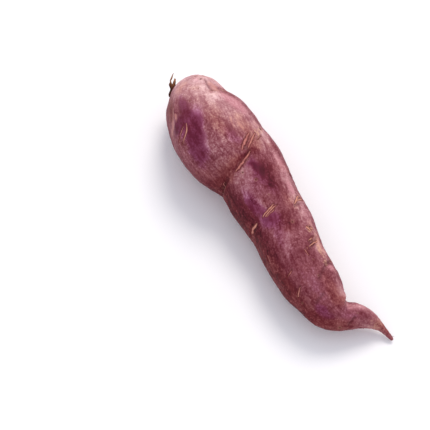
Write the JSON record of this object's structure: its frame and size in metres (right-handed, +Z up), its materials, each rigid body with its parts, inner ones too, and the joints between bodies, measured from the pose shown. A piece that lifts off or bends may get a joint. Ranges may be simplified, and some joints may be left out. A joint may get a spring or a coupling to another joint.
{
  "type": "sweet potato",
  "caption": "Whole purple-skinned sweet potato lying on its side, plump at the crown, slimmer past a shallow waist, with a bent pointed tail and a dried vine stub.",
  "frame": {"origin": "on the table, at the middle of the whole object's footprint", "axes": "+X along the root from the crown to the tip of the tail, +Z up from the table"},
  "size_m": [0.1975, 0.0541, 0.0463],
  "materials": {
    "purple_skin": "thin purple-red skin, mottled with a pale dusty bloom, low sheen",
    "corky_scar": "tan, dry corky lips and scabs standing a little proud of the skin",
    "dried_vine": "grey-brown, dry and fibrous"
  },
  "bodies": {
    "root": {"sweet_potato": "purple_skin", "dried_stem": "dried_vine"}
  },
  "joints": []
}
